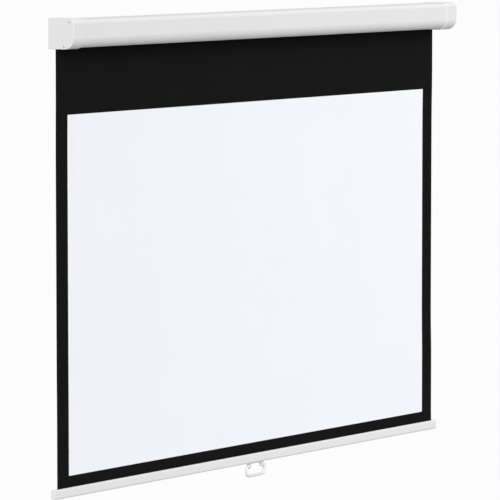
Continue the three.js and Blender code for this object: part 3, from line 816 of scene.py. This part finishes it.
def hem_mesh(sizes, top):
    """The black strip below the picture, whose hem loops round the rod in the bottom bar"""
    rod_radius = (ROD_HIGH.z - ROD_LOW.z) / 2
    centre = ((ROD_LOW.y + ROD_HIGH.y) / 2, (ROD_LOW.z + ROD_HIGH.z) / 2)
    reach = rod_radius + sizes.thickness / 2 + HEM_ROOM
    loop = arc(centre, reach, HEM_ENTRY, HEM_ENTRY - HEM_SWEEP, HEM_STEPS)
    neck = (FABRIC_Y, loop[0][1] + reach / 2)
    line = [(FABRIC_Y, top), (FABRIC_Y, BAR_HIGH.z), neck] + loop
    bm = prism(strip_outline(line, sizes.thickness), (FABRIC_LOW.x, FABRIC_HIGH.x))
    # After the prism's two ends come the faces down the strip's back, one fewer than the line's points
    for face in list(bm.faces)[2:len(line) + 1]:
        face.material_index = HEM_BACK
    return bm


class ROLLER_SCREEN_OT_spare_wraps(bpy.types.Operator):
    """Wind the spare turns of fabric that stay on the roller"""

    bl_idname = "roller_screen.spare_wraps"
    bl_label = "Spare Wraps"

    def execute(self, context):
        turns = context.scene.screen_fabric.spare_turns
        outer = (WRAPS_HIGH.z - WRAPS_LOW.z) / 2
        inner = (TUBE_HIGH.z - TUBE_LOW.z) / 2
        thickness = (outer - inner) / turns * WRAP_FILL
        line = spiral(inner + thickness / 2, outer - thickness / 2, turns)
        outline = strip_outline(line, thickness)
        wraps = as_object("spare_wraps", prism(outline, (WRAPS_LOW.x, WRAPS_HIGH.x)), "fabric_backing")
        placed(wraps, "roller", "fabric_black", "fabric_wraps")
        return {"FINISHED"}


def spiral(inner, outer, turns):
    """A line of (y, z) points wound round the roller's axis, from the inner radius to the outer"""
    steps = round(WRAP_STEPS * turns)
    line = []
    for k in range(steps + 1):
        share = k / steps
        radius = inner + (outer - inner) * share
        turn = 4 * QUARTER * turns * (1 - share)
        line.append((ROLLER_Y + radius * math.cos(turn), radius * math.sin(turn)))
    return line


def bar_outline(sizes, inset, band_z, steps):
    """The bar's section, or one inset from its front and back, over a band of height"""
    band_y = around(FABRIC_Y, BAR_HIGH.y - BAR_LOW.y - 2 * inset)
    return rounded_rectangle(band_y, band_z, sizes.corner - inset, steps)


def bar_hollows(sizes, gap):
    """The hem channel and the lower hollow as bands of height, each short of its walls by a gap"""
    channel_top = BAR_HIGH.z - sizes.wall
    channel_bottom = channel_top - sizes.channel
    return (
        (channel_bottom + gap, channel_top - gap),
        (BAR_LOW.z + sizes.wall + gap, channel_bottom - sizes.wall - gap),
    )


def handle_screw_holes(scene, band_z):
    """Solids that cut the holes of the handle's two screws through a band of height"""
    boxes = [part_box(f"handle_{name}_screw") for name in SIDES]
    places = [((low.x + high.x) / 2, FABRIC_Y) for low, high in boxes]
    return [upright_rod(place, screw_hole(scene), band_z) for place in places]


class ROLLER_SCREEN_OT_bottom_bar(bpy.types.Operator):
    """Make the bottom bar, an extrusion with a hem channel and a lower hollow"""

    bl_idname = "roller_screen.bottom_bar"
    bl_label = "Bottom Bar"

    def execute(self, context):
        sizes = context.scene.screen_bar
        ends = (BAR_LOW.x, BAR_HIGH.x)
        outline = bar_outline(sizes, 0, (BAR_LOW.z, BAR_HIGH.z), BAR_STEPS)
        bar = as_object("bar_extrusion", prism(outline, ends), "bar_paint")
        hollows = [
            prism(bar_outline(sizes, sizes.wall, band, HOLLOW_STEPS), past(ends))
            for band in bar_hollows(sizes, 0)
        ]
        slot_z = (BAR_HIGH.z - 2 * sizes.wall, BAR_HIGH.z + OVERRUN)
        slot = block(past(ends), around(FABRIC_Y, sizes.slot), slot_z)
        holes = handle_screw_holes(context.scene, (BAR_LOW.z - OVERRUN, BAR_LOW.z + 2 * sizes.wall))
        cut(bar, *hollows, slot, *holes)
        placed_hard(bar, "bottom_bar", "bar_paint", "bottom_bar")
        return {"FINISHED"}


class ROLLER_SCREEN_OT_bar_caps(bpy.types.Operator):
    """Make the two plugs that close the bottom bar's ends"""

    bl_idname = "roller_screen.bar_caps"
    bl_label = "Bar Caps"

    def execute(self, context):
        sizes = context.scene.screen_bar
        gap = context.scene.screen_casing.gap
        face = BAR_HIGH.x + gap
        lower_hollow = bar_hollows(sizes, gap)[1]
        plate_outline = bar_outline(sizes, 0, (BAR_LOW.z, BAR_HIGH.z), BAR_STEPS)
        spigot_outline = bar_outline(sizes, sizes.wall + gap, lower_hollow, HOLLOW_STEPS)
        for name, side in SIDES.items():
            ends = span(side, face, BAR_CAP_HIGH.x)
            plate = rounded_ends(prism(plate_outline, ends), ends, sizes.cap_edge)
            cap = as_object(f"{name}_bar_plug", plate, "cap_plastic")
            spigot_ends = span(side, BAR_HIGH.x - sizes.spigot, face + sizes.cap_edge)
            joined(cap, prism(spigot_outline, spigot_ends))
            placed_hard(cap, "bottom_bar", "cap_plastic", f"bar_{name}_cap")
        return {"FINISHED"}


class ROLLER_SCREEN_OT_handle_bracket(bpy.types.Operator):
    """Make the handle's bracket, a plate under the bar with two ears"""

    bl_idname = "roller_screen.handle_bracket"
    bl_label = "Handle Bracket"

    def execute(self, context):
        sizes = context.scene.screen_handle
        width = (PLATE_LOW.x, PLATE_HIGH.x)
        plate_z = (PLATE_HIGH.z - sizes.plate, PLATE_HIGH.z)
        plate = block(width, (PLATE_LOW.y, PLATE_HIGH.y), plate_z)
        bracket = as_object("handle_plate", plate, "bar_paint")
        pivot = (FABRIC_Y, BAR_LOW.z - sizes.pivot_drop)
        ear_top = PLATE_HIGH.z - sizes.plate / 2
        ear = [(FABRIC_Y + sizes.ear_radius, ear_top), (FABRIC_Y - sizes.ear_radius, ear_top)]
        ear += arc(pivot, sizes.ear_radius, 2 * QUARTER, 4 * QUARTER, EAR_STEPS)
        outer = PLATE_HIGH.x - sizes.ear_inset
        joined(bracket, *[prism(ear, span(side, outer - sizes.ear, outer)) for side in SIDES.values()])
        bore = rod(pivot, sizes.rod + context.scene.screen_casing.gap, width)
        cut(bracket, bore, *handle_screw_holes(context.scene, past((PLATE_LOW.z, PLATE_HIGH.z))))
        edges_broken(bracket, sizes.edge)
        placed_hard(bracket, "bottom_bar", "bar_paint", "handle_bracket")
        return {"FINISHED"}


class ROLLER_SCREEN_OT_pull_handle(bpy.types.Operator):
    """Make the pull handle, a bent rod with rounded ends"""

    bl_idname = "roller_screen.pull_handle"
    bl_label = "Pull Handle"

    def execute(self, context):
        sizes = context.scene.screen_handle
        loop = rounded_tube(handle_line(sizes), sizes.rod, sizes.rod_edge)
        handle = as_object("handle_loop", loop, "handle_plastic")
        placed_hard(handle, "pull_handle", "handle_plastic", "pull_handle")
        return {"FINISHED"}


def handle_line(sizes):
    """The handle's centre line as (x, z) points: out of one ear, down, across, up and into the other"""
    side = HANDLE_HIGH.x - sizes.rod
    low = HANDLE_LOW.z + sizes.rod
    pivot = BAR_LOW.z - sizes.pivot_drop
    rod_end = PLATE_HIGH.x - sizes.ear_inset - sizes.ear - sizes.end_proud
    corners = [
        (Vector((-side, pivot)), sizes.shoulder),
        (Vector((-side, low)), sizes.corner),
        (Vector((side, low)), sizes.corner),
        (Vector((side, pivot)), sizes.shoulder),
    ]
    end = Vector((rod_end, pivot))
    line = [Vector((-rod_end, pivot))]
    for k, (corner, bend) in enumerate(corners):
        following = corners[k + 1][0] if k + 1 < len(corners) else end
        start = corner + (line[-1] - corner).normalized() * bend
        stop = corner + (following - corner).normalized() * bend
        for step in range(BEND_STEPS + 1):
            share = step / BEND_STEPS
            line.append((1 - share) ** 2 * start + 2 * share * (1 - share) * corner + share**2 * stop)
    return line + [end]


def rounded_rim(end, neighbour, radius):
    """Rounds a rod's end: places on its centre line, out to the end, each with the surface's inset"""
    inward = (neighbour - end).normalized()
    turns = [QUARTER * k / RIM_STEPS for k in range(RIM_STEPS + 1)]
    return [(end + inward * radius * (1 - math.sin(a)), radius * (1 - math.cos(a))) for a in turns]


def rounded_tube(line, radius, edge):
    """A rod along a line of (x, z) points in the fabric's plane, with rounded rims at its two ends"""
    places = rounded_rim(line[0], line[1], edge)[::-1]
    places += [(point, 0) for point in line[1:-1]]
    places += rounded_rim(line[-1], line[-2], edge)
    path = [place for place, inset in places]
    bm = bmesh.new()
    rings = []
    for k, (place, inset) in enumerate(places):
        reach = across(path, k) * (radius - inset)
        ring = []
        for m in range(HANDLE_SIDES):
            turn = 4 * QUARTER * m / HANDLE_SIDES
            offset = reach * math.cos(turn)
            depth = (radius - inset) * math.sin(turn)
            ring.append(bm.verts.new((place.x + offset.x, FABRIC_Y + depth, place.y + offset.y)))
        rings.append(ring)
    return skinned(bm, rings)


class ROLLER_SCREEN_OT_screws(bpy.types.Operator):
    """Put the pan head screws in the end caps and the handle's bracket"""

    bl_idname = "roller_screen.screws"
    bl_label = "Screws"

    def execute(self, context):
        sizes = context.scene.screen_screws
        up = Vector((0, 0, 1))
        for node, (body, head) in screw_seats().items():
            low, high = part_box(node)
            axis = max(range(3), key=lambda k: abs(head[k]))
            whole = (high - low)[axis]
            name = node.replace("_screw", "_fastener")
            screw = as_object(name, screw_mesh(sizes, whole - sizes.head_height), "zinc_steel")
            cut(screw, *cross_recess(sizes))
            seat = (low + high) / 2 + head * (whole / 2 - sizes.head_height)
            turn = up.rotation_difference(head).to_matrix().to_4x4()
            screw.matrix_world = Matrix.Translation(seat) @ turn
            placed_hard(screw, body, "zinc_steel", node)
        return {"FINISHED"}


def screw_seats():
    """The body that each screw is fixed to, and the way its head faces"""
    seats = {}
    for name, side in SIDES.items():
        seats[f"{name}_cap_upper_screw"] = ("casing", Vector((side, 0, 0)))
        seats[f"{name}_cap_lower_screw"] = ("casing", Vector((side, 0, 0)))
        seats[f"handle_{name}_screw"] = ("bottom_bar", Vector((0, 0, -1)))
    return seats


def screw_mesh(sizes, reach):
    """A pan head screw without its recess, the head up along Z and its seat at zero"""
    rim = sizes.rim * sizes.head_height
    profile = [
        (0, -reach),
        (sizes.tip * sizes.shank, -reach),
        (sizes.shank, sizes.taper * sizes.shank - reach),
        (sizes.shank, 0),
        (sizes.head, 0),
        (sizes.head, rim),
    ]
    for k in range(1, DOME_STEPS):
        turn = QUARTER * k / DOME_STEPS
        profile.append((sizes.head * math.cos(turn), rim + (sizes.head_height - rim) * math.sin(turn)))
    profile.append((0, sizes.head_height))
    bm = bmesh.new()
    points = [bm.verts.new((r, 0, z)) for r, z in profile]
    edges = [bm.edges.new(pair) for pair in zip(points, points[1:])]
    bmesh.ops.spin(
        bm, geom=points + edges, cent=(0, 0, 0), axis=(0, 0, 1), angle=4 * QUARTER, steps=ROD_SIDES,
        use_duplicate=False,
    )
    bmesh.ops.remove_doubles(bm, verts=bm.verts, dist=MEETING)
    bmesh.ops.recalc_face_normals(bm, faces=bm.faces)
    return bm


def cross_recess(sizes):
    """Solids that cut the cross recess into a screw's head"""
    depth = (sizes.head_height - sizes.recess_depth, sizes.head_height + OVERRUN)
    arms = [(sizes.recess, sizes.recess_width), (sizes.recess_width, sizes.recess)]
    return [block(around(0, a), around(0, b), depth) for a, b in arms]


class ROLLER_SCREEN_OT_frame_finishes(bpy.types.Operator):
    """Give the brackets, roller, spring drive and ratchet their metal and nylon finishes"""

    bl_idname = "roller_screen.frame_finishes"
    bl_label = "Inner Pieces"

    def execute(self, context):
        for row in frame["record"]["subparts"]:
            node = frame["nodes"][row["node"]]
            if node.hide_render:
                continue
            for material_slot in node.material_slots:
                material_slot.material = finish_for(row["material_slot"])
        return {"FINISHED"}


def mixed_shader(tree, share, first, second):
    return made(tree, "MixShader", "Shader", {"Fac": share, 1: first, 2: second})


def seen_directly(tree):
    """1 where the camera, a mirror image or clear glass sees a surface, 0 where light bounces off it"""
    path = tree.nodes.new("ShaderNodeLightPath")
    value = path.outputs["Is Camera Ray"]
    for name in ("Is Glossy Ray", "Is Transmission Ray"):
        value = made(tree, "Math", "Value", {0: value, 1: path.outputs[name]}, operation="MAXIMUM")
    return value


def floor_material(settings):
    """A floor that looks nearly white with its shadow, throws back plain light, and is clear from below"""
    material = bpy.data.materials.new("pale_floor")
    material.use_nodes = True
    tree = material.node_tree
    tree.nodes.clear()
    dull = made(tree, "BsdfDiffuse", "BSDF", {"Color": (*settings.floor_colour, 1)})
    pale = made(tree, "BsdfDiffuse", "BSDF", {"Color": (*settings.floor_seen, 1)})
    lit = mixed_shader(tree, settings.floor_glow, pale, made(tree, "Emission", "Emission", {}))
    seen = mixed_shader(tree, seen_directly(tree), dull, lit)
    clear = made(tree, "BsdfTransparent", "BSDF", {})
    underside = made(tree, "NewGeometry", "Backfacing", {})
    output = tree.nodes.new("ShaderNodeOutputMaterial")
    feed(output, {"Surface": mixed_shader(tree, underside, seen, clear)})
    return material


class ROLLER_SCREEN_OT_stage(bpy.types.Operator):
    """Set up the camera, the pale floor and the soft light"""

    bl_idname = "roller_screen.stage"
    bl_label = "Stage"

    def execute(self, context):
        settings = context.scene.screen_stage
        context.scene.camera = self.new_camera(settings)
        self.add_floor(settings)
        context.scene.world = self.new_world(settings)
        self.add_lights(settings)
        context.scene.view_settings.view_transform = "Standard"
        return {"FINISHED"}

    def new_camera(self, settings):
        data = bpy.data.cameras.new("photo_camera")
        data.lens = settings.lens
        data.sensor_width = settings.sensor
        data.clip_end = settings.floor_size
        camera = added("photo_camera", data)
        camera.location = settings.camera_place
        camera.rotation_euler = (QUARTER - settings.camera_tilt, 0, -settings.camera_turn)
        return camera

    def add_floor(self, settings):
        bm = bmesh.new()
        bmesh.ops.create_grid(bm, x_segments=1, y_segments=1, size=settings.floor_size)
        floor = as_object("studio_floor", bm)
        floor.data.materials.append(floor_material(settings))
        floor.location.z = HANDLE_LOW.z - settings.floor_drop

    def new_world(self, settings):
        world = bpy.data.worlds.new("surroundings")
        world.use_nodes = True
        tree = world.node_tree
        light = tree.nodes["Background"]
        feed(light, {"Color": (*settings.sky, 1), "Strength": settings.sky_strength})
        white = made(tree, "Background", "Background", {"Color": (1, 1, 1, 1)})
        shader = mixed_shader(tree, seen_directly(tree), light.outputs["Background"], white)
        feed(tree.nodes["World Output"], {"Surface": shader})
        return world

    def add_lights(self, settings):
        source = Vector(settings.left_from)
        sun = self.add_lamp("left_light", "SUN", settings.left_strength, source, source)
        sun.angle = settings.softness
        place = Vector(settings.box_place)
        outward = place - (CAD_LOW + CAD_HIGH) / 2
        softbox = self.add_lamp("softbox", "AREA", settings.box_power, place, outward)
        softbox.size = settings.box_size

    def add_lamp(self, name, kind, energy, place, backwards):
        data = bpy.data.lights.new(name, kind)
        data.energy = energy
        lamp = added(name, data)
        lamp.rotation_mode = "QUATERNION"
        lamp.rotation_quaternion = backwards.to_track_quat("Z", "Y")
        lamp.location = place
        return data


GROUPS = {
    "screen_casing": CasingSizes,
    "screen_fabric": FabricSizes,
    "screen_bar": BarSizes,
    "screen_handle": HandleSizes,
    "screen_screws": ScrewSizes,
    "screen_finishes": Finishes,
    "screen_stage": StageSettings,
}
OPERATORS = (
    ROLLER_SCREEN_OT_stage,
    ROLLER_SCREEN_OT_casing,
    ROLLER_SCREEN_OT_end_caps,
    ROLLER_SCREEN_OT_spare_wraps,
    ROLLER_SCREEN_OT_fabric,
    ROLLER_SCREEN_OT_bottom_bar,
    ROLLER_SCREEN_OT_bar_caps,
    ROLLER_SCREEN_OT_handle_bracket,
    ROLLER_SCREEN_OT_pull_handle,
    ROLLER_SCREEN_OT_screws,
    ROLLER_SCREEN_OT_frame_finishes,
)


class ROLLER_SCREEN_PT_pieces(bpy.types.Panel):
    """Sidebar panel with the pieces of the screen and their sizes"""

    bl_idname = "ROLLER_SCREEN_PT_pieces"
    bl_label = "Roller Screen"
    bl_space_type = "VIEW_3D"
    bl_region_type = "UI"
    bl_category = "Roller Screen"

    def draw(self, context):
        for operator in OPERATORS:
            self.layout.operator(operator.bl_idname)
        for name, group in GROUPS.items():
            box = self.layout.box()
            box.label(text=group.__doc__)
            for key in group.__annotations__:
                box.prop(getattr(context.scene, name), key)


def register():
    for name, group in GROUPS.items():
        bpy.utils.register_class(group)
        setattr(bpy.types.Scene, name, PointerProperty(type=group))
    for operator in OPERATORS:
        bpy.utils.register_class(operator)
    bpy.utils.register_class(ROLLER_SCREEN_PT_pieces)


def unregister():
    bpy.utils.unregister_class(ROLLER_SCREEN_PT_pieces)
    for operator in reversed(OPERATORS):
        bpy.utils.unregister_class(operator)
    for name, group in reversed(GROUPS.items()):
        delattr(bpy.types.Scene, name)
        bpy.utils.unregister_class(group)


def main():
    register()
    for operator in OPERATORS:
        group, name = operator.bl_idname.split(".")
        getattr(getattr(bpy.ops, group), name)()


if __name__ == "__main__":
    main()
